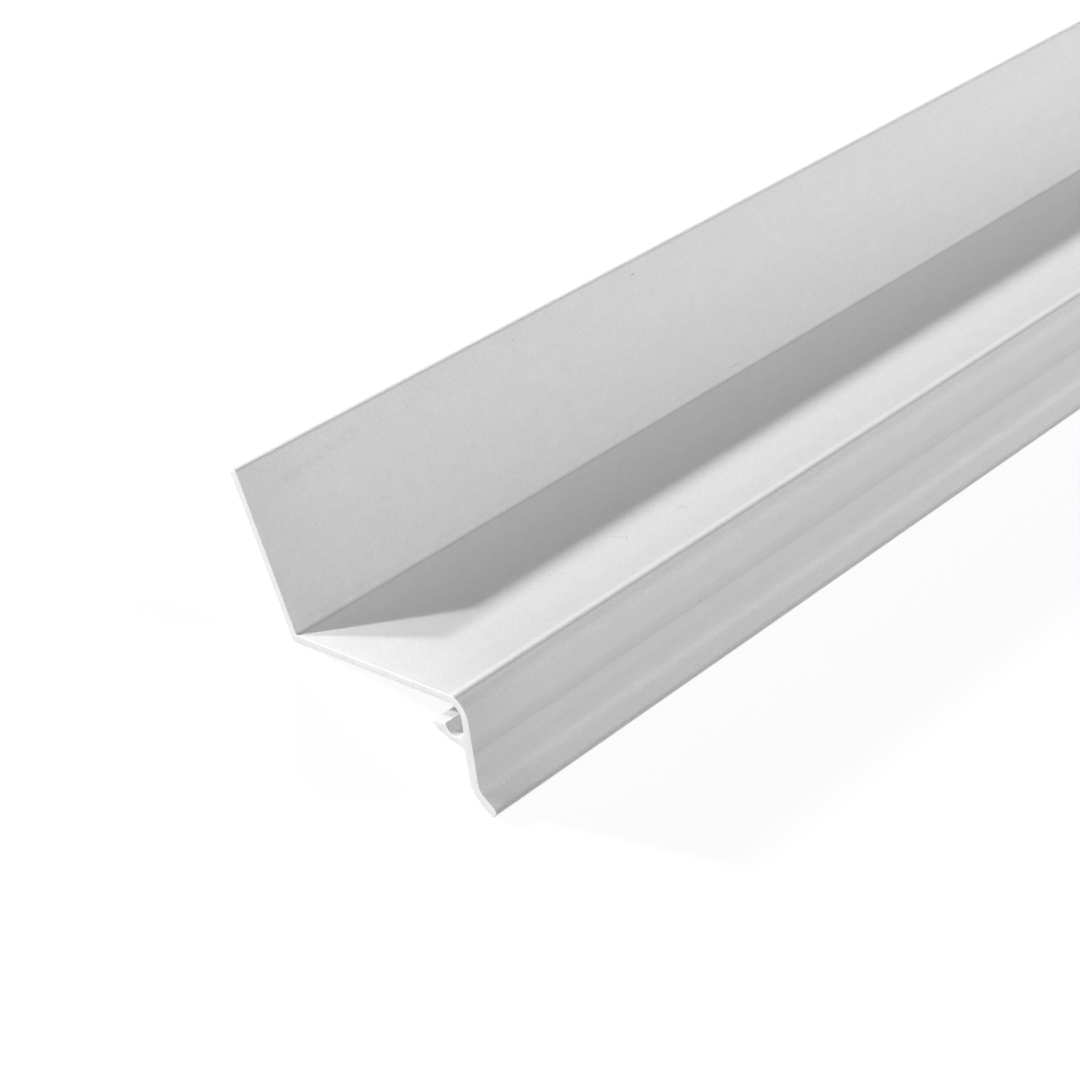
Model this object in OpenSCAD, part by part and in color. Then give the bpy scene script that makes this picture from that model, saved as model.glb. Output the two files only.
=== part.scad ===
// Drip edge flashing: an extruded aluminium profile, cut to length.
// The section is drawn square to the bed, with the outer corner at its origin,
// +x along the bed's underside towards the nose and +y up through the bed.
// The length is then laid as it rests on a level floor, on its outer corner and its drip tip.

/* [Stock] */
// Length that the profile is cut to
stock_len = 1000; // [50:10:3000]

/* [Bed] */
// Width from the outer corner to the front face of the nose
bed_w = 50; // [35:0.5:120]
// Thickness of the bed
bed_wall = 1.85; // [1.2:0.05:2.6]

/* [Back leg] */
// Height of the back leg along its rear face
back_h = 38; // [15:0.5:100]
// Thickness of the back leg
back_wall = 1.85; // [1.2:0.05:2.6]
// Angle between the bed and the back leg
back_angle = 105; // [90:1:120]

/* [Nose] */
// Drop from the top of the bed to the drip tip
nose_drop = 26; // [22:0.1:60]
// Thickness of the nose beside the clip groove
throat_wall = 1.85; // [1.2:0.05:2.3]
// Thickness of the nose below the clip groove
nose_wall = 2.35; // [1.8:0.05:2.8]
// Width of the bend, from the crease along the front of the bed to the front face of the nose
bend_run = 3.4; // [2.6:0.1:4]
// Angle by which the bend turns down in that crease
crease_angle = 24; // [15:1:32]
// Radius of the crease
crease_r = 0.8; // [0.3:0.1:1.2]
// Inner radius of the bend
bend_in_r = 3; // [0.8:0.1:3.4]

/* [Drip kick] */
// Angle by which the kick turns out from the nose
kick_angle = 49; // [20:1:60]
// Length of the kick's front face, from the bend's sharp corner to the tip
kick_len = 5.6; // [4.5:0.1:10]
// Thickness of the kick
kick_wall = 2.25; // [1.8:0.05:2.8]
// Radius of the hollow front side of the kick's bend
kick_r = 3.2; // [1:0.1:5]

/* [Clip groove] */
// Radius of the half-round groove
groove_r = 2.45; // [2.1:0.05:3]
// Depth of the groove's centre below the top of the bed
groove_drop = 7.15; // [6.8:0.05:8.5]
// Thickness of the arm where it is thinnest, under the groove
arm_wall = 1.45; // [0.9:0.05:2]
// Radius of the arm's curved underside
arm_r = 16; // [12:0.5:24]
// Slant of the arm under the groove
arm_slant = 15; // [10:1:20]
// Width of the land between the groove and the arm's tip
land_w = 3.85; // [2:0.05:5]
// Fall of the land from the groove to the arm's tip
land_slant = 9; // [5:0.5:12]
// Slant of the arm's end face from the level of the bed
arm_end_slant = 55; // [50:1:80]

/* [Edges] */
// Radius in the inner corner of bed and back leg
inner_corner_r = 0.6; // [0.2:0.1:2]
// Radius on the outer corner under it
outer_corner_r = 0.6; // [0.2:0.1:2]
// Radius on the two edges along the top of the back leg
top_edge_r = 0.35; // [0.1:0.05:0.6]
// Radius on the two edges of the drip tip
tip_edge_r = 0.5; // [0.1:0.05:0.8]
// Radius on the edge of the arm's tip
arm_edge_r = 0.15; // [0.1:0.05:0.4]
// Radius where the arm's underside meets the nose
arm_root_r = 0.9; // [0.3:0.1:1.5]

/* [Hidden] */
$fn = 96;

// Overlap that joins two shapes which meet along an edge
lap = 0.2;
// Arcs are drawn this much larger, so that each crosses the faces that it runs into
crossing = 0.0002;

// The back leg: one direction up along it, one through its thickness towards the nose
back_up = [cos(back_angle), sin(back_angle)];
back_in = [sin(back_angle), -cos(back_angle)];
back_top_rear = back_h * back_up;
back_top_front = back_top_rear + back_wall * back_in;
inner_corner_rise = (bed_wall + back_wall * cos(back_angle)) / sin(back_angle);
inner_corner = back_wall * back_in + inner_corner_rise * back_up;

// The bend: it turns down in a small crease, and then in one arc that fills the rest of its run
bend_flat = 0.05;
crease = [bed_w - bend_run, bed_wall];
bend_corner = [bed_w, bed_wall - bend_run * tan(crease_angle)];
bend_slope = norm(bend_corner - crease);
bend_reach = bend_slope - crease_r * tan(crease_angle / 2) - bend_flat;
bend_out_r = bend_reach / tan(45 - crease_angle / 2);

// The nose: its rear face beside and below the groove
throat_x = bed_w - throat_wall;
nose_rear_x = bed_w - nose_wall;

// The kick: one direction down along it, one through its thickness towards the rear
kick_down = [sin(kick_angle), -cos(kick_angle)];
kick_back = [-cos(kick_angle), -sin(kick_angle)];
tip_low_y = bed_wall - nose_drop;
kick_corner = [bed_w, tip_low_y - kick_len * kick_down.y - kick_wall * kick_back.y];
tip_front = kick_corner + kick_len * kick_down;
tip_rear = tip_front + kick_wall * kick_back;
kick_rear_run = (nose_rear_x - tip_rear.x) / kick_down.x;
kick_rear_corner = tip_rear + kick_rear_run * kick_down;
kick_rear_r = kick_r + nose_wall;

// The clip groove, which runs into the rear face of the nose, and the arm that carries it
groove_centre = [throat_x - groove_r, bed_wall - groove_drop];
arm_centre_gap = arm_r - groove_r - arm_wall;
arm_centre = groove_centre + arm_centre_gap * [sin(arm_slant), cos(arm_slant)];
land_inner = groove_centre - [groove_r, 0];
arm_tip = land_inner - land_w * [1, tan(land_slant)];
arm_end_drop = groove_r + 2 * arm_wall;
arm_end_low = arm_tip + arm_end_drop * [1 / tan(arm_end_slant), -1];

// The little web that rounds the arm's root: its centre lies clear of both faces by its radius
root_x = nose_rear_x - arm_root_r;
root_reach = arm_r + arm_root_r;
root_y = arm_centre.y - sqrt(pow(root_reach, 2) - pow(root_x - arm_centre.x, 2));
root_centre = [root_x, root_y];
root_on_arm = root_centre + arm_root_r * (arm_centre - root_centre) / root_reach;

// The sharp outline without the arm, each corner with its radius
corners = [
    [[0, 0], outer_corner_r],
    [back_top_rear, top_edge_r],
    [back_top_front, top_edge_r],
    [inner_corner, inner_corner_r],
    [crease, crease_r],
    [bend_corner, bend_out_r],
    [kick_corner, kick_r],
    [tip_front, tip_edge_r],
    [tip_rear, tip_edge_r],
    [kick_rear_corner, kick_rear_r],
    [[nose_rear_x, groove_centre.y - groove_r], 0],
    [[throat_x, groove_centre.y - groove_r], 0],
    [[throat_x, 0], bend_in_r]
];
// Where that list has the corners that the profile rests on and reaches out to
at_outer_corner = 0;
at_back_top_rear = 1;
at_tip_front = 7;
at_tip_rear = 8;

// Geometry of a rounded corner: the unit directions to its neighbours and what follows from them
function unit(v) = v / norm(v);
function before(list, i) = list[(i + len(list) - 1) % len(list)][0];
function after(list, i) = list[(i + 1) % len(list)][0];
function half_angle(list, i) =
    acos(unit(before(list, i) - list[i][0]) * unit(after(list, i) - list[i][0])) / 2;
function bisector(list, i) =
    unit(unit(before(list, i) - list[i][0]) + unit(after(list, i) - list[i][0]));
function arc_centre(list, i) =
    list[i][0] + list[i][1] / sin(half_angle(list, i)) * bisector(list, i);
function tangent_point(list, i, towards) =
    list[i][0] + list[i][1] / tan(half_angle(list, i)) * unit(towards - list[i][0]);
// The outline runs clockwise, so a right turn is a corner that stands out
function stands_out(list, i) =
    cross(list[i][0] - before(list, i), after(list, i) - list[i][0]) < 0;

// What lies between a sharp corner and its arc, lapped past the corner
module corner_piece(list, i) {
    difference() {
        polygon([
            list[i][0] - lap * bisector(list, i),
            tangent_point(list, i, before(list, i)),
            arc_centre(list, i),
            tangent_point(list, i, after(list, i))
        ]);
        translate(arc_centre(list, i))
            circle(list[i][1] + crossing);
    }
}

// An outline with its corners rounded by true arcs
module rounded_outline(list) {
    rounded = [for (i = [0:len(list) - 1]) if (list[i][1] > 0) i];
    difference() {
        union() {
            polygon([for (corner = list) corner[0]]);
            for (i = rounded)
                if (!stands_out(list, i))
                    corner_piece(list, i);
        }
        for (i = rounded)
            if (stands_out(list, i))
                corner_piece(list, i);
    }
}

// The arm: level with the groove's centre on top, curved below, with the half-round groove in it
module clip_arm() {
    blank = [
        [arm_tip, arm_edge_r],
        [land_inner, 0],
        [[throat_x + lap, land_inner.y], 0],
        [[throat_x + lap, root_centre.y], 0],
        [arm_end_low, 0]
    ];
    difference() {
        intersection() {
            rounded_outline(blank);
            translate(arm_centre)
                circle(arm_r);
        }
        translate(groove_centre)
            circle(groove_r + crossing);
    }
}

// The web that rounds the corner where the arm's underside meets the nose
module arm_root() {
    difference() {
        polygon([
            root_centre,
            root_on_arm,
            root_on_arm + [0, lap],
            [nose_rear_x + lap, root_on_arm.y + lap],
            [nose_rear_x + lap, root_centre.y]
        ]);
        translate(root_centre)
            circle(arm_root_r + crossing);
    }
}

module section() {
    union() {
        rounded_outline(corners);
        clip_arm();
        arm_root();
    }
}

// How it rests: the floor touches the arc of the outer corner and the lower arc of the drip tip
corner_arc = arc_centre(corners, at_outer_corner);
tip_arc = arc_centre(corners, at_tip_rear);
span = tip_arc - corner_arc;
rest_turn = asin((tip_edge_r - outer_corner_r) / norm(span)) - atan2(span.y, span.x);

function turned(p) = [
    p.x * cos(rest_turn) - p.y * sin(rest_turn),
    p.x * sin(rest_turn) + p.y * cos(rest_turn)
];

floor_y = turned(tip_arc).y - tip_edge_r;
rear_x = turned(arc_centre(corners, at_back_top_rear)).x - top_edge_r;
front_x = turned(arc_centre(corners, at_tip_front)).x + tip_edge_r;
middle_x = (rear_x + front_x) / 2;

// The nose faces -Y, and the sawn ends face -X and +X
module drip_edge_profile() {
    color([0.83, 0.83, 0.83])
        translate([0, middle_x, -floor_y])
            rotate([90, 0, -90])
                linear_extrude(height = stock_len, center = true)
                    rotate(rest_turn)
                        section();
}

drip_edge_profile();
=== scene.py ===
import math

import bpy
from mathutils import Matrix, Vector


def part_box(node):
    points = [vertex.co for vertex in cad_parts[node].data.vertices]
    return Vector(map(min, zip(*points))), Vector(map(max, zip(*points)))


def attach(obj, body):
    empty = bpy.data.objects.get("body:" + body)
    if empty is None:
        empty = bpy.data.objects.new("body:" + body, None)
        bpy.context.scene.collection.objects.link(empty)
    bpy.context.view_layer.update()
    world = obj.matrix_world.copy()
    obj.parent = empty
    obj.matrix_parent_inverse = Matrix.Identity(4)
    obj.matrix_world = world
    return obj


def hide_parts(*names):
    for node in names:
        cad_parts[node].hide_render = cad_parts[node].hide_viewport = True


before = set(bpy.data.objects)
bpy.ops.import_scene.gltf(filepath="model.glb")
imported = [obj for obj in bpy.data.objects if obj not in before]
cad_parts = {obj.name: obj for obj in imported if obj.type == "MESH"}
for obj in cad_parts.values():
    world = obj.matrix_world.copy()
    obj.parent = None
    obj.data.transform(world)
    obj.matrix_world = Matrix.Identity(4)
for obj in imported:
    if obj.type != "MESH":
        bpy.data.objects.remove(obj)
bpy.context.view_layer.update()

# The section, in millimetres: the outer corner is the origin, x runs under the bed to the nose and y up
# through the bed
profile = {
    "bedWidth": 50, "bedWall": 1.85,
    "backHeight": 38, "backWall": 1.85, "backAngle": 105,
    "noseDrop": 26, "throatWall": 1.85, "noseWall": 2.35,
    "bendRun": 3.4, "creaseAngle": 24, "creaseRadius": 0.8, "bendInRadius": 3,
    "bendFlat": 0.05,      # straight left between the crease and the bend
    "kickAngle": 49, "kickLength": 5.6, "kickWall": 2.25, "kickRadius": 3.2,
    "grooveRadius": 2.45, "grooveDrop": 7.15,
    "armWall": 1.45, "armRadius": 16, "armSlant": 15, "armEndSlant": 55,
    "landWidth": 3.85, "landSlant": 9,
    "innerCornerRadius": 0.6, "outerCornerRadius": 0.6, "topEdgeRadius": 0.35,
    "tipEdgeRadius": 0.5, "armEdgeRadius": 0.15, "armRootRadius": 0.9,
    "arcStep": 7.5,        # degrees between the points of an arc
    "cornerStep": 15, "rootStep": 12, "undersideStep": 3, "armEdgeStep": 20,    # and of these arcs
    "smallRadius": 1, "wideSweep": 60,    # a corner below this radius that sweeps more takes cornerStep
    "support": 0.12,       # points this close to the ends of a straight keep its shading flat
    "straightStep": 5,     # and points this far apart lie along it
    "edgeBreak": 0.08,     # the sawn ends are lightly deburred
    "edgeSteps": 3,
    "stations": 51,        # rings along the length
    "mergeDistance": 0.002,    # mm
    "sharpAngle": 32,      # degrees above which an edge is shaded sharp
    "endFacing": 0.99,     # faces that look this squarely along the length are the sawn ends
}


def direction(degrees):
    return Vector((math.cos(math.radians(degrees)), math.sin(math.radians(degrees))))


def angleOf(vector):
    return math.degrees(math.atan2(vector.y, vector.x))


def arc(centre, radius, start, sweep, step=None):
    count = max(2, math.ceil(abs(sweep) / (step or profile["arcStep"])))
    return [centre + radius * direction(start + sweep * i / count) for i in range(count + 1)]


def cornerArc(before, corner, after, radius):
    towardsBefore, towardsAfter = (before - corner).normalized(), (after - corner).normalized()
    half = towardsBefore.angle(towardsAfter) / 2
    centre = corner + (towardsBefore + towardsAfter).normalized() * radius / math.sin(half)
    start = angleOf(corner + towardsBefore * radius / math.tan(half) - centre)
    end = angleOf(corner + towardsAfter * radius / math.tan(half) - centre)
    return centre, start, (end - start + 180) % 360 - 180


def withSupports(points):  # extra points along the longer straights of the closed outline
    made = []
    for i, point in enumerate(points):
        following = points[(i + 1) % len(points)]
        made.append(point)
        length = (following - point).length
        if length > 1:
            way = (following - point) / length
            pieces = max(1, round(length / profile["straightStep"]))
            stops = [length * k / pieces for k in range(1, pieces)]
            stops = [profile["support"], *stops, length - profile["support"]]
            made += [point + way * stop for stop in stops]
    return made


def sectionOutline():  # clockwise, from the outer corner up the back leg
    p = profile
    backUp = direction(p["backAngle"])
    backIn = direction(p["backAngle"] - 90)
    backTopRear = p["backHeight"] * backUp
    backTopFront = backTopRear + p["backWall"] * backIn
    innerRise = (p["bedWall"] + p["backWall"] * backUp.x) / backUp.y
    innerCorner = p["backWall"] * backIn + innerRise * backUp
    crease = Vector((p["bedWidth"] - p["bendRun"], p["bedWall"]))
    bendCorner = crease + p["bendRun"] * Vector((1, -math.tan(math.radians(p["creaseAngle"]))))
    bendReach = (bendCorner - crease).length - p["bendFlat"]
    bendReach -= p["creaseRadius"] * math.tan(math.radians(p["creaseAngle"] / 2))
    bendOutRadius = bendReach / math.tan(math.radians(45 - p["creaseAngle"] / 2))
    throatX = p["bedWidth"] - p["throatWall"]
    noseRearX = p["bedWidth"] - p["noseWall"]
    kickDown = direction(p["kickAngle"] - 90)
    kickBack = direction(p["kickAngle"] - 180)
    tipLowY = p["bedWall"] - p["noseDrop"]
    kickCornerY = tipLowY - p["kickLength"] * kickDown.y - p["kickWall"] * kickBack.y
    kickCorner = Vector((p["bedWidth"], kickCornerY))
    tipFront = kickCorner + p["kickLength"] * kickDown
    tipRear = tipFront + p["kickWall"] * kickBack
    kickRearCorner = tipRear + kickDown * (noseRearX - tipRear.x) / kickDown.x
    grooveCentre = Vector((throatX - p["grooveRadius"], p["bedWall"] - p["grooveDrop"]))
    armCentreGap = p["armRadius"] - p["grooveRadius"] - p["armWall"]
    armCentre = grooveCentre + armCentreGap * direction(90 - p["armSlant"])
    landInner = grooveCentre - Vector((p["grooveRadius"], 0))
    armTip = landInner - p["landWidth"] * Vector((1, math.tan(math.radians(p["landSlant"]))))
    armEndWay = direction(-p["armEndSlant"])
    rootX = noseRearX - p["armRootRadius"]
    rootReach = p["armRadius"] + p["armRootRadius"]
    rootCentre = Vector((rootX, armCentre.y - math.sqrt(rootReach ** 2 - (rootX - armCentre.x) ** 2)))
    rootAngle = angleOf(armCentre - rootCentre)
    # where the arm's end face runs out on its curved underside
    fromCentre = armTip - armCentre
    along = fromCentre.dot(armEndWay)
    toArc = -along + math.sqrt(along ** 2 - fromCentre.length_squared + p["armRadius"] ** 2)
    armEndLow = armTip + toArc * armEndWay
    underStart = angleOf(rootCentre - armCentre)
    underEnd = angleOf(armEndLow - armCentre)

    origin = Vector((0, 0))
    throatCorner = Vector((throatX, 0))
    rootFoot = Vector((noseRearX, rootCentre.y))
    rounded = [
        (throatCorner, origin, backTopRear, p["outerCornerRadius"]),
        (origin, backTopRear, backTopFront, p["topEdgeRadius"]),
        (backTopRear, backTopFront, innerCorner, p["topEdgeRadius"]),
        (backTopFront, innerCorner, crease, p["innerCornerRadius"]),
        (innerCorner, crease, bendCorner, p["creaseRadius"]),
        (crease, bendCorner, kickCorner, bendOutRadius),
        (bendCorner, kickCorner, tipFront, p["kickRadius"]),
        (kickCorner, tipFront, tipRear, p["tipEdgeRadius"]),
        (tipFront, tipRear, kickRearCorner, p["tipEdgeRadius"]),
        (tipRear, kickRearCorner, rootFoot, p["kickRadius"] + p["noseWall"]),
    ]
    points, centres = [], []
    for before, corner, after, radius in rounded:
        centre, start, sweep = cornerArc(before, corner, after, radius)
        centres.append(centre)
        coarse = abs(sweep) > p["wideSweep"] and radius < p["smallRadius"]
        points += arc(centre, radius, start, sweep, p["cornerStep"] if coarse else None)
    points += arc(rootCentre, p["armRootRadius"], 0, rootAngle, p["rootStep"])
    points += arc(armCentre, p["armRadius"], underStart, underEnd - underStart, p["undersideStep"])[1:]
    centre, start, sweep = cornerArc(armEndLow, armTip, landInner, p["armEdgeRadius"])
    points += arc(centre, p["armEdgeRadius"], start, sweep, p["armEdgeStep"])
    points += arc(grooveCentre, p["grooveRadius"], 180, 180)
    throatFoot = Vector((throatX, grooveCentre.y))
    centre, start, sweep = cornerArc(throatFoot, throatCorner, origin, p["bendInRadius"])
    points += arc(centre, p["bendInRadius"], start, sweep)

    # The start of each face in view, and the way across it
    onLeg, onBed = backTopFront, innerCorner
    onNose = Vector((p["bedWidth"], centres[5].y))
    starts = {"leg": (onLeg, -backUp), "bed": (onBed, Vector((1, 0))), "nose": (onNose, Vector((0, -1)))}

    # It rests on the arc of the outer corner and the lower arc of the drip tip
    span = centres[8] - centres[0]
    tilt = math.asin((p["tipEdgeRadius"] - p["outerCornerRadius"]) / span.length)
    turn = math.degrees(tilt) - angleOf(span)
    return withSupports(points), turn, starts


def linear(hexColour):  # sRGB hex to the linear colour that a shader wants
    parts = [int(hexColour[i:i + 2], 16) / 255 for i in (1, 3, 5)]
    return [x / 12.92 if x <= 0.04045 else ((x + 0.055) / 1.055) ** 2.4 for x in parts] + [1]


def addNode(tree, kind, inputs=(), **settings):  # inputs by place or by name: values, sockets or nodes
    node = tree.nodes.new(kind)
    for name, value in settings.items():
        setattr(node, name, value)
    for name, value in (inputs.items() if isinstance(inputs, dict) else enumerate(inputs)):
        if isinstance(value, bpy.types.Node):
            value = value.outputs[0]
        if isinstance(value, bpy.types.NodeSocket):
            tree.links.new(value, node.inputs[name])
        else:
            node.inputs[name].default_value = value
    return node


mathNode, vectorNode = "ShaderNodeMath", "ShaderNodeVectorMath"
mappingNode, rangeNode = "ShaderNodeMapping", "ShaderNodeMapRange"
soft = "SMOOTHSTEP"


def newMaterial(name):
    material = bpy.data.materials.new(name)
    material.use_nodes = True
    tree = material.node_tree
    tree.nodes.clear()
    return material, tree


# How the section lies: turned about the outer corner, then centred and set down on the floor
outlinePoints, restTurn, faces = sectionOutline()
turnMatrix = Matrix.Rotation(math.radians(restTurn), 2)
turnedPoints = [turnMatrix @ point for point in outlinePoints]
nodeLow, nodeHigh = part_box("drip_edge_profile")
middleX = (min(p.x for p in turnedPoints) + max(p.x for p in turnedPoints)) / 2
floorY = min(p.y for p in turnedPoints)
print("section:", len(outlinePoints), "points, turned by", round(restTurn, 3), "degrees")

# Mill-finish extruded aluminium, as it leaves the die and the stretcher: nearly matte, with a fine etched
# mottle, faint die lines, and darker bands on the nose opposite the groove and the arm. Light and shade are
# painted in too: along the crease, in the inner corner, on the back leg, past the crease and on the drip
# tip
millFinish = {
    "colour": "#DEDEDE", "darkColour": "#202020", "roughness": 0.8,
    "tarnish": 0.1, "paintedNoseShade": 0.09,       # how dull the skin is, and the painted shade added past the crease
    "noseShadeFrom": (0.3, 1.0),                  # mm past the crease, where that comes in
    "topFrom": (0.1, 0.4),                     # mm above the bed's underside, where the bed's top comes in
    "noseFrom": (48.3, 48.6),                  # mm from the outer corner, where the nose comes in
    # Noises: mm along the length, mm across it, detail, roughness
    "grain": (0.5, 0.5, 3.0, 0.65),            # the real etch is about 0.05 mm and too fine to show
    "cloud": (4.5, 3, 3.0, 0.5),
    "dieLine": (500, 1.1, 3.0, 0.6),
    "blotch": (1.92, 1.2, 2.0, 0.5),           # the broken-up look of the wider smudges
    "grainDepth": 0.22, "cloudDepth": 0.05, "dieLineDepth": 0.022,
    "blotchSpan": (0.2, 0.75),                 # values of the blotches between which they fade
    "wideMark": 0.5,                           # mm, half width above which a mark is broken up
    "reliefHeight": 0.004,                     # mm
    # Bands on the nose: mm below the end of the bend, half width, depth; the last is painted shade along
    # the drip tip's lower edge
    "noseBands": [(6.1, 2.4, 0.045), (6.9, 0.55, 0.035), (11.5, 1.4, 0.02), (19.4, 0.9, 0.18)],
    # Painted light along the crease: mm past it, half width, depth; a painted highlight on the bed just
    # before it, painted shade over the bed's front and the bend, and a painted shaded line just past it
    "creaseLightAndShade": [(-0.7, 1.0, -0.07), (-2.7, 6.5, 0.025), (0.62, 0.42, 0.17)],
    # Lines on the back leg: mm above the inner corner, half width, depth; the first is painted light over
    # the corner's shade, the second a faint line, the last painted shade along the top edge
    "legLinesAndPaintedLight": [(0.7, 0.7, -0.05), (2.1, 0.4, 0.02), (36.6, 0.9, 0.12)],
    # Painted shade in the inner corner: mm along the bed, half width, depth
    "cornerShade": (0.25, 0.7, 0.14),
    "bandCore": 0.2,                           # share of a band's half width that is at full depth
    # Small marks: face, mm from the sawn end and across the face at both ends of the mark,
    # half width, depth. They are of handling, except the wide faint one that darkens the leg along the
    # inner corner
    "marks": [
        ("leg", (11, 6.6), (31, 4.8), 2.0, 0.055), ("leg", (46, 5.3), (51, 5.0), 1.0, 0.05),
        ("leg", (4, 34.8), (22, 34.4), 1.6, 0.02), ("leg", (0.8, 25.8), (0.8, 27.4), 0.3, 0.06),
        ("leg", (30.8, 20.3), (32.6, 20.2), 0.16, 0.09), ("leg", (32.6, 20.2), (34, 20.9), 0.16, 0.09),
        ("leg", (34.6, 30.2), (34.8, 30.3), 0.3, 0.1), ("leg", (79.2, 3.4), (80.6, 3.2), 0.25, 0.15),
        ("leg", (119.2, 3.1), (119.7, 3.1), 0.35, 0.3), ("leg", (141, 34.5), (145, 34.5), 0.25, 0.15),
        ("bed", (45.3, 28.7), (45.4, 28.8), 0.35, 0.3), ("bed", (65, 28.7), (66, 32), 0.2, 0.18),
        ("bed", (66, 32), (67, 30.8), 0.18, 0.15), ("bed", (82, 33), (83.3, 32.8), 0.25, 0.18),
        ("bed", (83.2, 32.8), (83, 34.3), 0.18, 0.15), ("bed", (55, 10.6), (70, 10.2), 0.7, 0.018),
        ("nose", (68.3, 6.7), (68.6, 6.7), 0.3, 0.18),
    ],
}


def sectionCoordinates(tree):  # Object coordinates as mm along the length and in the section's own axes
    turn = math.radians(restTurn)
    origin = Vector((middleX * math.cos(turn) + floorY * math.sin(turn),
                     -middleX * math.sin(turn) + floorY * math.cos(turn)))
    place = addNode(tree, "ShaderNodeTexCoord").outputs["Object"]
    return addNode(tree, mappingNode, {
        "Vector": place, "Scale": (1000, -1000, 1000), "Rotation": (-turn, 0, 0), "Location": (0, *origin)})


def mottle(tree, place, along, across, detail, roughness):  # a noise with its sizes in mm
    scaled = addNode(tree, mappingNode, {"Vector": place, "Scale": (1 / along, 1 / across, 1 / across)})
    return addNode(tree, "ShaderNodeTexNoise", {
        "Vector": scaled, "Scale": 1.0, "Detail": detail, "Roughness": roughness})


def band(tree, value, centre, halfWidth, depth):  # a soft stripe where the value is near the centre
    offset = addNode(tree, mathNode, [value, centre], operation="SUBTRACT")
    away = addNode(tree, mathNode, [offset], operation="ABSOLUTE")
    core = millFinish["bandCore"] * halfWidth
    return addNode(tree, rangeNode, [away, core, halfWidth, depth, 0.0], interpolation_type=soft)


def onFace(face, along, across):  # a point on a face, from mm along the length and mm across
    start, way = faces[face]
    point = start + across * way
    return Vector((1000 * nodeLow.x + along, point.x, point.y))


def stroke(tree, place, start, end, halfWidth, depth):  # a short soft line between two points
    way = end - start
    offset = addNode(tree, vectorNode, [place, start], operation="SUBTRACT")
    dot = addNode(tree, vectorNode, [offset, way], operation="DOT_PRODUCT").outputs["Value"]
    share = addNode(tree, mathNode, [dot, way.length_squared], operation="DIVIDE")
    share = addNode(tree, mathNode, [share, 1.0], operation="MINIMUM")
    share = addNode(tree, mathNode, [share, 0.0], operation="MAXIMUM")
    reach = addNode(tree, vectorNode, {0: way, "Scale": share}, operation="SCALE")
    away = addNode(tree, vectorNode, [offset, reach], operation="DISTANCE").outputs["Value"]
    return addNode(tree, rangeNode, [away, 0.0, halfWidth, depth, 0.0], interpolation_type=soft)


def addBands(tree, value, bands, mask, dark):
    for centre, halfWidth, depth in bands:
        stripe = band(tree, value, centre, halfWidth, depth)
        dark = addNode(tree, mathNode, [stripe, mask, dark], operation="MULTIPLY_ADD")
    return dark


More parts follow.
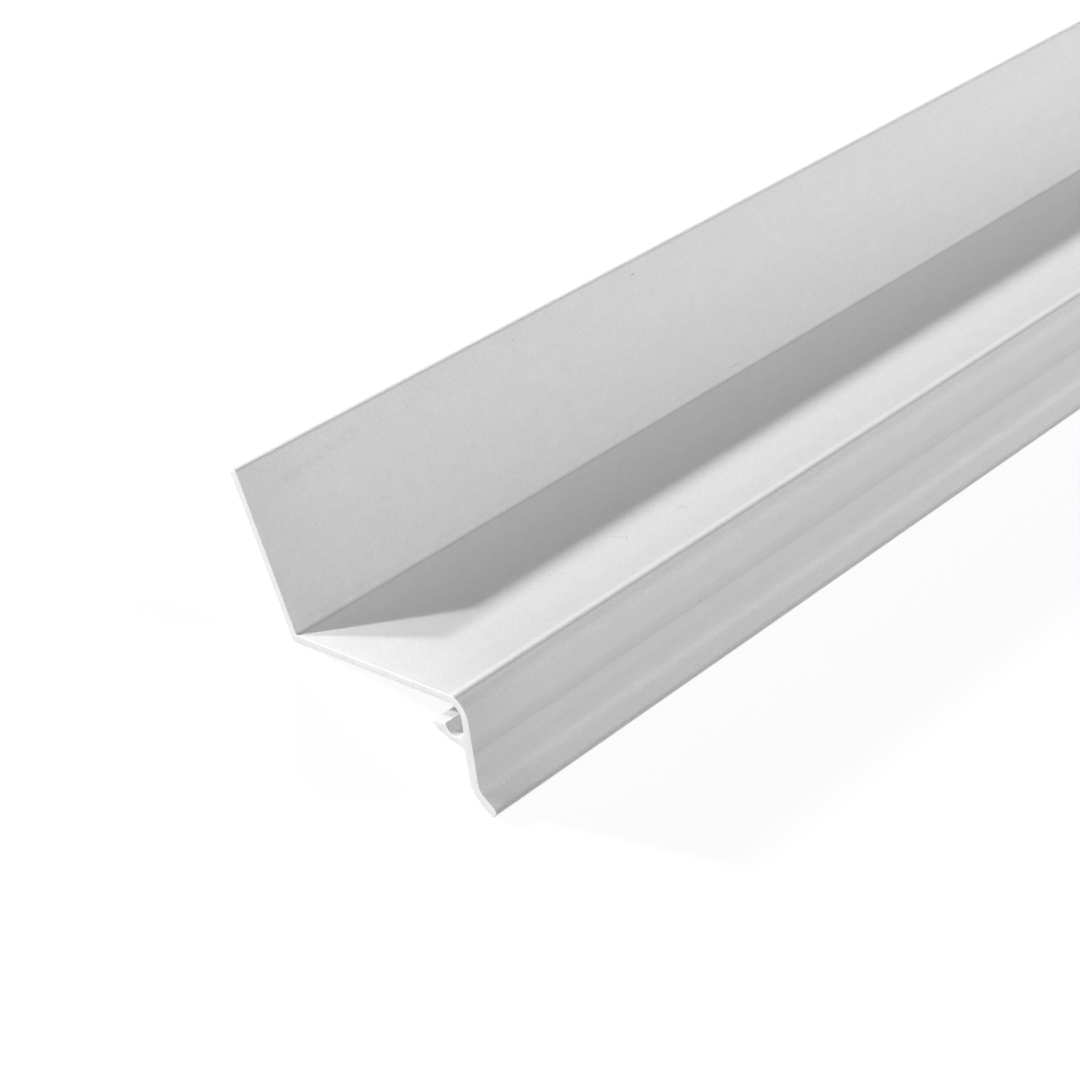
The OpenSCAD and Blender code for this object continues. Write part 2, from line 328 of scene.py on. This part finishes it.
def makeMillFinish():
    m = millFinish
    material, tree = newMaterial("mill-finish extruded aluminium")
    place = sectionCoordinates(tree)
    axes = addNode(tree, "ShaderNodeSeparateXYZ", [place]).outputs
    fine, cloud, line = (mottle(tree, place, *m[name]) for name in ("grain", "cloud", "dieLine"))
    dark = m["tarnish"]
    for pattern, depth in ((fine, m["grainDepth"]), (cloud, m["cloudDepth"]), (line, m["dieLineDepth"])):
        centred = addNode(tree, mathNode, [pattern, 0.5], operation="SUBTRACT")
        dark = addNode(tree, mathNode, [centred, depth, dark], operation="MULTIPLY_ADD")

    # Masks for the bed's top and for what lies in front of the nose's rear face
    creaseX = profile["bedWidth"] - profile["bendRun"]
    onTop = addNode(tree, rangeNode, [axes["Z"], *m["topFrom"], 0.0, 1.0], interpolation_type=soft)
    onNose = addNode(tree, rangeNode, [axes["Y"], *m["noseFrom"], 0.0, 1.0], interpolation_type=soft)
    inFront = addNode(tree, mathNode, [onTop, onNose], operation="MAXIMUM")
    # Painted shade over all that lies past the crease: the bend, the nose and the drip
    span = [creaseX + x for x in m["noseShadeFrom"]]
    noseShade = addNode(tree, rangeNode, [axes["Y"], *span, 0.0, m["paintedNoseShade"]], interpolation_type=soft)
    dark = addNode(tree, mathNode, [dark, noseShade], operation="ADD")

    # Distances in mm: down the nose, past the crease, up the back leg and along the bed
    up = direction(profile["backAngle"])
    height = addNode(tree, vectorNode, [place, (0, up.x, up.y)], operation="DOT_PRODUCT").outputs["Value"]
    corner = faces["bed"][0]
    down = addNode(tree, mathNode, [faces["nose"][0].y, axes["Z"]], operation="SUBTRACT")
    past = addNode(tree, mathNode, [axes["Y"], creaseX], operation="SUBTRACT")
    above = addNode(tree, mathNode, [height, corner.dot(up)], operation="SUBTRACT")
    along = addNode(tree, mathNode, [axes["Y"], corner.x], operation="SUBTRACT")
    # The last nose band is painted shade along the drip tip's lower edge
    dark = addBands(tree, down, m["noseBands"], inFront, dark)
    # Painted highlight on the crease, painted shade over the bed's front and just past the crease
    dark = addBands(tree, past, m["creaseLightAndShade"], inFront, dark)
    # Painted light low on the back leg, and painted shade along its top edge
    dark = addBands(tree, above, m["legLinesAndPaintedLight"], 1.0, dark)
    # Painted shade in the inner corner
    dark = addBands(tree, along, [m["cornerShade"]], onTop, dark)

    patches = mottle(tree, place, *m["blotch"])
    blotch = addNode(tree, rangeNode, [patches, *m["blotchSpan"], 0.0, 1.0], interpolation_type=soft)
    for face, start, end, halfWidth, depth in m["marks"]:
        mark = stroke(tree, place, onFace(face, *start), onFace(face, *end), halfWidth, depth)
        if halfWidth > m["wideMark"]:
            mark = addNode(tree, mathNode, [mark, blotch], operation="MULTIPLY")
        dark = addNode(tree, mathNode, [mark, dark], operation="ADD")

    colour = addNode(tree, "ShaderNodeMix", {
        "Factor": dark, "A": linear(m["colour"]), "B": linear(m["darkColour"])}, data_type="RGBA")
    relief = addNode(tree, mathNode, [fine, m["reliefHeight"]], operation="MULTIPLY")
    bump = addNode(tree, "ShaderNodeBump", {"Height": relief, "Distance": 0.001, "Strength": 1.0})
    surface = addNode(tree, "ShaderNodeBsdfPrincipled", {
        "Base Color": colour.outputs["Result"], "Metallic": 1.0, "Roughness": m["roughness"],
        "Normal": bump})
    addNode(tree, "ShaderNodeOutputMaterial", {"Surface": surface})
    return material


# Sawn end: aluminium cut by a carbide saw, plain and pale, with shallow arcs left by the teeth
sawnEnd = {
    "colour": "#CACACA", "darkColour": "#A8A8A8", "roughness": 0.8,
    "bladeBelow": 175, "bladeBehind": 60,    # mm from the outer corner to the blade's centre
    "toothStep": 0.35,      # mm between tooth marks; the real 0.12 mm is too fine to show
    "markHeight": 0.003,    # mm
    # Noises, as for the mill finish: one makes the marks waver, one makes the tone patchy
    "wander": (5, 3, 2.0, 0.5), "wanderDepth": 0.5,    # mm
    "patch": (2, 2, 3.0, 0.5), "patchSpan": (0.3, 0.7), "patchDepth": 0.15,
}


def makeSawnEnd():
    m = sawnEnd
    material, tree = newMaterial("saw-cut aluminium end")
    place = sectionCoordinates(tree)
    fromBlade = addNode(tree, mappingNode, {
        "Vector": place, "Location": (0, m["bladeBehind"], m["bladeBelow"]), "Scale": (0, 1, 1)})
    distance = addNode(tree, vectorNode, [fromBlade], operation="LENGTH").outputs["Value"]
    wander = mottle(tree, place, *m["wander"])
    run = addNode(tree, mathNode, [wander, m["wanderDepth"], distance], operation="MULTIPLY_ADD")
    phase = addNode(tree, mathNode, [run, 2 * math.pi / m["toothStep"]], operation="MULTIPLY")
    marks = addNode(tree, mathNode, [phase], operation="SINE")
    patches = mottle(tree, place, *m["patch"])
    patchy = addNode(tree, rangeNode, [patches, *m["patchSpan"], 0.0, m["patchDepth"]],
                     interpolation_type=soft)
    colour = addNode(tree, "ShaderNodeMix", {
        "Factor": patchy, "A": linear(m["colour"]), "B": linear(m["darkColour"])}, data_type="RGBA")
    relief = addNode(tree, mathNode, [marks, m["markHeight"]], operation="MULTIPLY")
    bump = addNode(tree, "ShaderNodeBump", {"Height": relief, "Distance": 0.001, "Strength": 1.0})
    surface = addNode(tree, "ShaderNodeBsdfPrincipled", {
        "Base Color": colour.outputs["Result"], "Metallic": 1.0, "Roughness": m["roughness"],
        "Normal": bump})
    addNode(tree, "ShaderNodeOutputMaterial", {"Surface": surface})
    return material


def sectionCurve():  # the turned outline as a closed curve, in metres, in its own XY plane
    data = bpy.data.curves.new("sectionOutline", "CURVE")
    data.dimensions = "2D"
    data.fill_mode = "NONE"
    spline = data.splines.new("POLY")
    spline.points.add(len(turnedPoints) - 1)
    for target, point in zip(spline.points, turnedPoints):
        target.co = ((point.x - middleX) / 1000, (point.y - floorY) / 1000, 0, 1)
    spline.use_cyclic_u = True
    curve = bpy.data.objects.new("sectionOutline", data)
    bpy.context.scene.collection.objects.link(curve)
    return curve


def extrusionTree():  # sweeps the outline along the length, rounds the sawn edges and closes the ends
    tree = bpy.data.node_groups.new("extrudedProfile", "GeometryNodeTree")
    sockets = [("Section", "Object"), ("Length", "Float"), ("Stations", "Int"), ("Edge Break", "Float"),
               ("Edge Steps", "Int"), ("Skin", "Material"), ("Ends", "Material")]
    for name, kind in sockets:
        tree.interface.new_socket(name, in_out="INPUT", socket_type="NodeSocket" + kind)
    tree.interface.new_socket("Geometry", in_out="OUTPUT", socket_type="NodeSocketGeometry")
    given = addNode(tree, "NodeGroupInput").outputs

    section = addNode(tree, "GeometryNodeObjectInfo", {"Object": given["Section"]}).outputs["Geometry"]
    tangent = addNode(tree, "GeometryNodeInputTangent")
    outward = addNode(tree, vectorNode, [(0, 0, 1), tangent], operation="CROSS_PRODUCT")
    kept = addNode(tree, "GeometryNodeCaptureAttribute")
    kept.capture_items.new("VECTOR", "Outward")
    tree.links.new(section, kept.inputs[0])
    tree.links.new(outward.outputs[0], kept.inputs["Outward"])

    # Stations: close together round the sawn edges, even in between
    steps, rings = given["Edge Steps"], given["Stations"]
    edge, length = given["Edge Break"], given["Length"]
    count = addNode(tree, mathNode, [steps, 2.0, rings], operation="MULTIPLY_ADD")
    lastIndex = addNode(tree, mathNode, [count, 1.0], operation="SUBTRACT")
    index = addNode(tree, "GeometryNodeInputIndex")
    fromLast = addNode(tree, mathNode, [lastIndex, index], operation="SUBTRACT")
    fromEnd = addNode(tree, mathNode, [index, fromLast], operation="MINIMUM")
    share = addNode(tree, mathNode, [fromEnd, steps], operation="DIVIDE")
    share = addNode(tree, mathNode, [share, 1.0], operation="MINIMUM")
    quarter = addNode(tree, mathNode, [share, math.pi / 2], operation="MULTIPLY")
    cosine = addNode(tree, mathNode, [quarter], operation="COSINE")
    rounding = addNode(tree, mathNode, [1.0, cosine], operation="SUBTRACT")
    evenLength = addNode(tree, mathNode, [edge, -2.0, length], operation="MULTIPLY_ADD")
    gaps = addNode(tree, mathNode, [rings, 1.0], operation="SUBTRACT")
    spacing = addNode(tree, mathNode, [evenLength, gaps], operation="DIVIDE")
    beyond = addNode(tree, mathNode, [fromEnd, steps], operation="SUBTRACT")
    beyond = addNode(tree, mathNode, [beyond, 0.0], operation="MAXIMUM")
    evenRun = addNode(tree, mathNode, [beyond, spacing], operation="MULTIPLY")
    run = addNode(tree, mathNode, [rounding, edge, evenRun], operation="MULTIPLY_ADD")
    middle = addNode(tree, mathNode, [lastIndex, 0.5], operation="MULTIPLY")
    side = addNode(tree, mathNode, [index, middle], operation="SUBTRACT")
    side = addNode(tree, mathNode, [side], operation="SIGN")
    half = addNode(tree, mathNode, [length, 0.5], operation="MULTIPLY")
    reach = addNode(tree, mathNode, [half, run], operation="SUBTRACT")
    height = addNode(tree, mathNode, [side, reach], operation="MULTIPLY")
    station = addNode(tree, "ShaderNodeCombineXYZ", {2: height})
    path = addNode(tree, "GeometryNodeCurvePrimitiveLine", {"Start": (0, 0, -0.5), "End": (0, 0, 0.5)})
    path = addNode(tree, "GeometryNodeResampleCurve", {"Curve": path, "Count": count})
    path = addNode(tree, "GeometryNodeSetPosition", {"Geometry": path, "Position": station})
    sine = addNode(tree, mathNode, [quarter], operation="SINE")
    inset = addNode(tree, mathNode, [1.0, sine], operation="SUBTRACT")
    inset = addNode(tree, mathNode, [inset, edge], operation="MULTIPLY")
    ringed = addNode(tree, "GeometryNodeCaptureAttribute")
    ringed.capture_items.new("FLOAT", "Inset")
    tree.links.new(path.outputs[0], ringed.inputs[0])
    tree.links.new(inset.outputs[0], ringed.inputs["Inset"])

    # The skin, drawn in round the sawn edges
    skin = addNode(tree, "GeometryNodeCurveToMesh", {"Curve": ringed, "Profile Curve": kept})
    skin = addNode(tree, "GeometryNodeFlipFaces", {"Mesh": skin})  # so that it faces outwards
    drawnIn = addNode(tree, mathNode, [ringed.outputs["Inset"], -1.0], operation="MULTIPLY")
    inward = addNode(tree, vectorNode, {0: kept.outputs["Outward"], "Scale": drawnIn}, operation="SCALE")
    skin = addNode(tree, "GeometryNodeSetPosition", {"Geometry": skin, "Offset": inward})
    skin = addNode(tree, "GeometryNodeSetShadeSmooth", {"Geometry": skin, "Shade Smooth": True})

    # The sawn faces, smaller by the broken edge
    drawnIn = addNode(tree, mathNode, [edge, -1.0], operation="MULTIPLY")
    inward = addNode(tree, vectorNode, {0: outward, "Scale": drawnIn}, operation="SCALE")
    face = addNode(tree, "GeometryNodeSetPosition", {"Geometry": section, "Offset": inward})
    face = addNode(tree, "GeometryNodeFillCurve", {"Curve": face}, mode="TRIANGLES")
    face = addNode(tree, "GeometryNodeSetShadeSmooth", {"Geometry": face, "Shade Smooth": False})
    minusHalf = addNode(tree, mathNode, [length, -0.5], operation="MULTIPLY")
    halfUp = addNode(tree, "ShaderNodeCombineXYZ", {2: half})
    halfDown = addNode(tree, "ShaderNodeCombineXYZ", {2: minusHalf})
    topFace = addNode(tree, "GeometryNodeTransform", {"Geometry": face, "Translation": halfUp})
    lowFace = addNode(tree, "GeometryNodeTransform", {"Geometry": face, "Translation": halfDown})
    lowFace = addNode(tree, "GeometryNodeFlipFaces", {"Mesh": lowFace})
    whole = addNode(tree, "GeometryNodeJoinGeometry")
    for part in (skin, topFace, lowFace):
        tree.links.new(part.outputs[0], whole.inputs[0])
    merge = profile["mergeDistance"] / 1000
    whole = addNode(tree, "GeometryNodeMergeByDistance", {"Geometry": whole, "Distance": merge})

    # The outline's plane stands across the length, with the nose to -Y
    laid = addNode(tree, "GeometryNodeTransform", {
        "Geometry": whole, "Rotation": (math.pi / 2, 0, -math.pi / 2)})
    real = addNode(tree, "GeometryNodeRealizeInstances", {"Geometry": laid})
    dressed = addNode(tree, "GeometryNodeSetMaterial", {"Geometry": real, "Material": given["Skin"]})
    normal = addNode(tree, "GeometryNodeInputNormal")
    lengthways = addNode(tree, "ShaderNodeSeparateXYZ", [normal]).outputs["X"]
    squarely = addNode(tree, mathNode, [lengthways], operation="ABSOLUTE")
    isEnd = addNode(tree, mathNode, [squarely, profile["endFacing"]], operation="GREATER_THAN")
    dressed = addNode(tree, "GeometryNodeSetMaterial", {
        "Geometry": dressed, "Selection": isEnd, "Material": given["Ends"]})
    addNode(tree, "NodeGroupOutput", {"Geometry": dressed})
    return tree


def makeExtrusion(skin, ends):
    curve = sectionCurve()
    carrier = bpy.data.objects.new("extrusionCarrier", bpy.data.meshes.new("extrusionCarrier"))
    bpy.context.scene.collection.objects.link(carrier)
    modifier = carrier.modifiers.new("extrude", "NODES")
    modifier.node_group = extrusionTree()
    values = {
        "Section": curve, "Length": nodeHigh.x - nodeLow.x, "Stations": profile["stations"],
        "Edge Break": profile["edgeBreak"] / 1000, "Edge Steps": profile["edgeSteps"],
        "Skin": skin, "Ends": ends}
    for item in modifier.node_group.interface.items_tree:
        if item.in_out == "INPUT":
            modifier[item.identifier] = values[item.name]
    seen = carrier.evaluated_get(bpy.context.evaluated_depsgraph_get())
    mesh = bpy.data.meshes.new_from_object(seen)
    mesh.name = "extrudedProfile"
    empty = [i for i, material in enumerate(mesh.materials) if material is None]
    for i in reversed(empty):  # slots that joining the parts brought along
        mesh.materials.pop(index=i)
    mesh.set_sharp_from_angle(angle=math.radians(profile["sharpAngle"]))
    piece = bpy.data.objects.new("extruded_profile", mesh)
    bpy.context.scene.collection.objects.link(piece)
    bpy.data.objects.remove(carrier)
    bpy.data.objects.remove(curve)
    return piece


extrusion = makeExtrusion(makeMillFinish(), makeSawnEnd())
slotNames = [material.name for material in extrusion.data.materials]
print("extrusion:", len(extrusion.data.polygons), "faces, slots", slotNames)
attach(extrusion, "root")
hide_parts("drip_edge_profile")

# The studio: two lamps low behind the back leg, a wide soft one to either side, and a white floor that
# keeps a faint shadow; the world is white near the horizon and dark above
studio = {
    "floorSize": 12, "floorColour": "#F2F2F2", "floorGlow": 0.85,
    "worldLevel": 1.0,
    "horizon": 0.2,        # sine of the elevation at which the world has gone dark
    # Way of the light, strength, angle in degrees
    "lamps": {
        "key": ((0.4867, -0.8159, -0.3120), 3.3, 3.0),
        "second key": ((0.2831, -0.9093, -0.3050), 1.6, 3.0),
        "right": ((-0.90, 0.27, -0.32), 3.15, 52),
        "left": ((0.85, 0.18, -0.42), 3.5, 60),
    },
}


def makeFloor():
    s = studio
    half = s["floorSize"] / 2
    mesh = bpy.data.meshes.new("floor")
    corners = [(-half, -half, 0), (half, -half, 0), (half, half, 0), (-half, half, 0)]
    mesh.from_pydata(corners, [], [(0, 1, 2, 3)])
    floor = bpy.data.objects.new("floor", mesh)
    bpy.context.scene.collection.objects.link(floor)
    material, tree = newMaterial("white studio floor")
    ray = addNode(tree, "ShaderNodeLightPath").outputs
    seen = addNode(tree, mathNode, [ray["Is Camera Ray"], ray["Is Glossy Ray"]], operation="MAXIMUM")
    seen = addNode(tree, mathNode, [seen, ray["Is Transmission Ray"]], operation="MAXIMUM")
    glow = addNode(tree, mathNode, [seen, s["floorGlow"]], operation="MULTIPLY")
    matt = addNode(tree, "ShaderNodeBsdfDiffuse", {"Color": linear(s["floorColour"])})
    white = addNode(tree, "ShaderNodeEmission", {"Color": (1, 1, 1, 1), "Strength": 1.0})
    both = addNode(tree, "ShaderNodeMixShader", [glow, matt, white])
    addNode(tree, "ShaderNodeOutputMaterial", {"Surface": both})
    mesh.materials.append(material)


def makeLights():
    s = studio
    world = bpy.data.worlds.new("white studio")
    world.use_nodes = True
    tree = world.node_tree
    tree.nodes.clear()
    way = addNode(tree, "ShaderNodeTexCoord").outputs["Generated"]
    up = addNode(tree, "ShaderNodeSeparateXYZ", [way]).outputs["Z"]
    level = addNode(tree, rangeNode, [up, 0.0, s["horizon"], s["worldLevel"], 0.0], interpolation_type=soft)
    background = addNode(tree, "ShaderNodeBackground", {"Color": (1, 1, 1, 1), "Strength": level})
    addNode(tree, "ShaderNodeOutputWorld", {"Surface": background})
    bpy.context.scene.world = world
    for name, (way, strength, angle) in s["lamps"].items():
        lamp = bpy.data.lights.new(name, "SUN")
        lamp.energy = strength
        lamp.angle = math.radians(angle)
        body = bpy.data.objects.new(name, lamp)
        body.rotation_mode = "QUATERNION"
        body.rotation_quaternion = (-Vector(way)).to_track_quat("Z", "Y")
        bpy.context.scene.collection.objects.link(body)


makeFloor()
makeLights()
print("studio ready")

# The camera stands off the near sawn end, above and in front of the nose, as in the photograph
view = {
    "place": (-0.77482, -0.21391, 0.38324), "heading": 56.858, "elevation": 43.463, "roll": 15.072,
    "lens": 85.333, "sensor": 36, "clip": (0.01, 50),
}


def makeCamera():
    heading, elevation, roll = (math.radians(view[name]) for name in ("heading", "elevation", "roll"))
    forward = Vector((math.sin(heading) * math.cos(elevation), math.cos(heading) * math.cos(elevation),
                      -math.sin(elevation)))
    level = forward.cross(Vector((0, 0, 1))).normalized()
    upright = level.cross(forward)
    right = math.cos(roll) * level + math.sin(roll) * upright
    up = right.cross(forward)
    camera = bpy.data.cameras.new("camera")
    camera.lens, camera.sensor_width = view["lens"], view["sensor"]
    camera.clip_start, camera.clip_end = view["clip"]
    body = bpy.data.objects.new("camera", camera)
    body.matrix_world = Matrix((right, up, -forward)).transposed().to_4x4()
    body.location = view["place"]
    bpy.context.scene.collection.objects.link(body)
    bpy.context.scene.camera = body


makeCamera()
bpy.context.scene.view_settings.view_transform = "Standard"
print("camera ready")
